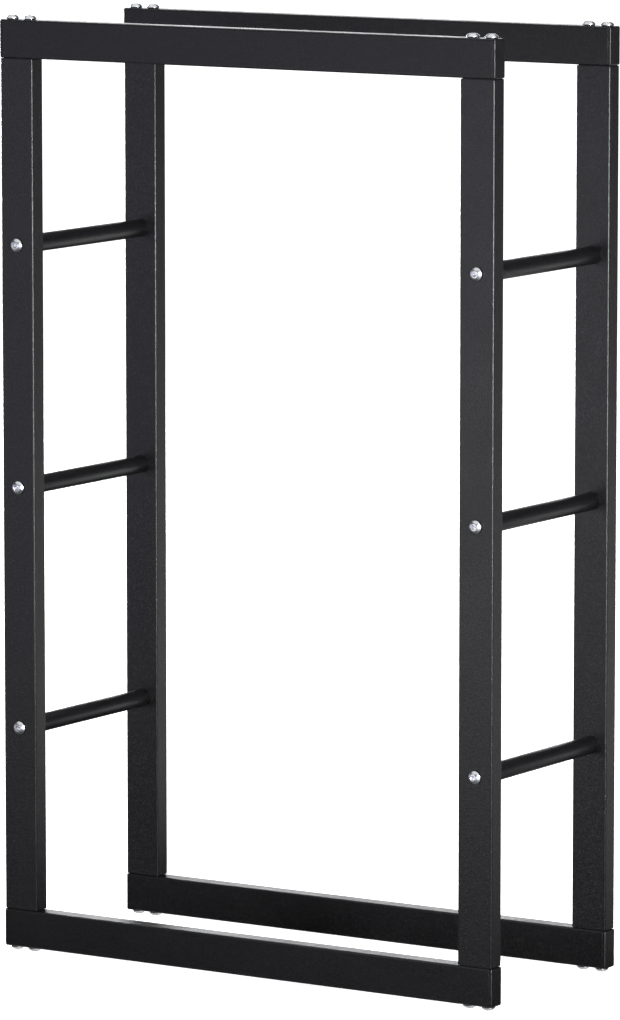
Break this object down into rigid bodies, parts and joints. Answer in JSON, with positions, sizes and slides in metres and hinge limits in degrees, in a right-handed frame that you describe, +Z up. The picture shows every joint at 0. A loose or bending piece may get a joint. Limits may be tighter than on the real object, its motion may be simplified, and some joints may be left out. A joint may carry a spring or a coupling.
{
  "type": "firewood log rack",
  "caption": "Tall open rack of black rectangular steel tube that stacks split logs between two bolted upright frames joined by round rungs.",
  "frame": {"origin": "on the floor, under the middle of the rack", "axes": "+X to the right, +Y to the rear, +Z up; the front frame is on the -Y side"},
  "size_m": [0.6, 0.2588, 0.9888],
  "materials": {
    "black_powder_coat": "satin black powder coat with a fine grain",
    "zinc_bolt": "bright zinc plate",
    "bare_steel": "bare machined steel, inside the tubes"
  },
  "bodies": {
    "root": {"front_bottom_rail": "black_powder_coat", "front_bottom_rail_left_plate": "black_powder_coat", "front_bottom_rail_right_plate": "black_powder_coat", "front_top_rail": "black_powder_coat", "front_top_rail_left_plate": "black_powder_coat", "front_top_rail_right_plate": "black_powder_coat", "front_left_post": "black_powder_coat", "front_right_post": "black_powder_coat", "rear_bottom_rail": "black_powder_coat", "rear_bottom_rail_left_plate": "black_powder_coat", "rear_bottom_rail_right_plate": "black_powder_coat", "rear_top_rail": "black_powder_coat", "rear_top_rail_left_plate": "black_powder_coat", "rear_top_rail_right_plate": "black_powder_coat", "rear_left_post": "black_powder_coat", "rear_right_post": "black_powder_coat", "left_lower_rung": "black_powder_coat", "left_middle_rung": "black_powder_coat", "left_upper_rung": "black_powder_coat", "right_lower_rung": "black_powder_coat", "right_middle_rung": "black_powder_coat", "right_upper_rung": "black_powder_coat", "front_left_bottom_bolts": "zinc_bolt", "front_right_bottom_bolts": "zinc_bolt", "front_left_top_bolts": "zinc_bolt", "front_right_top_bolts": "zinc_bolt", "rear_left_bottom_bolts": "zinc_bolt", "rear_right_bottom_bolts": "zinc_bolt", "rear_left_top_bolts": "zinc_bolt", "rear_right_top_bolts": "zinc_bolt", "left_lower_rung_bolts": "zinc_bolt", "left_middle_rung_bolts": "zinc_bolt", "left_upper_rung_bolts": "zinc_bolt", "right_lower_rung_bolts": "zinc_bolt", "right_middle_rung_bolts": "zinc_bolt", "right_upper_rung_bolts": "zinc_bolt", "front_left_post_bottom_block": "bare_steel", "front_left_post_top_block": "bare_steel", "front_right_post_bottom_block": "bare_steel", "front_right_post_top_block": "bare_steel", "rear_left_post_bottom_block": "bare_steel", "rear_left_post_top_block": "bare_steel", "rear_right_post_bottom_block": "bare_steel", "rear_right_post_top_block": "bare_steel", "left_lower_rung_front_plug": "bare_steel", "left_lower_rung_rear_plug": "bare_steel", "left_middle_rung_front_plug": "bare_steel", "left_middle_rung_rear_plug": "bare_steel", "left_upper_rung_front_plug": "bare_steel", "left_upper_rung_rear_plug": "bare_steel", "right_lower_rung_front_plug": "bare_steel", "right_lower_rung_rear_plug": "bare_steel", "right_middle_rung_front_plug": "bare_steel", "right_middle_rung_rear_plug": "bare_steel", "right_upper_rung_front_plug": "bare_steel", "right_upper_rung_rear_plug": "bare_steel"}
  },
  "joints": []
}
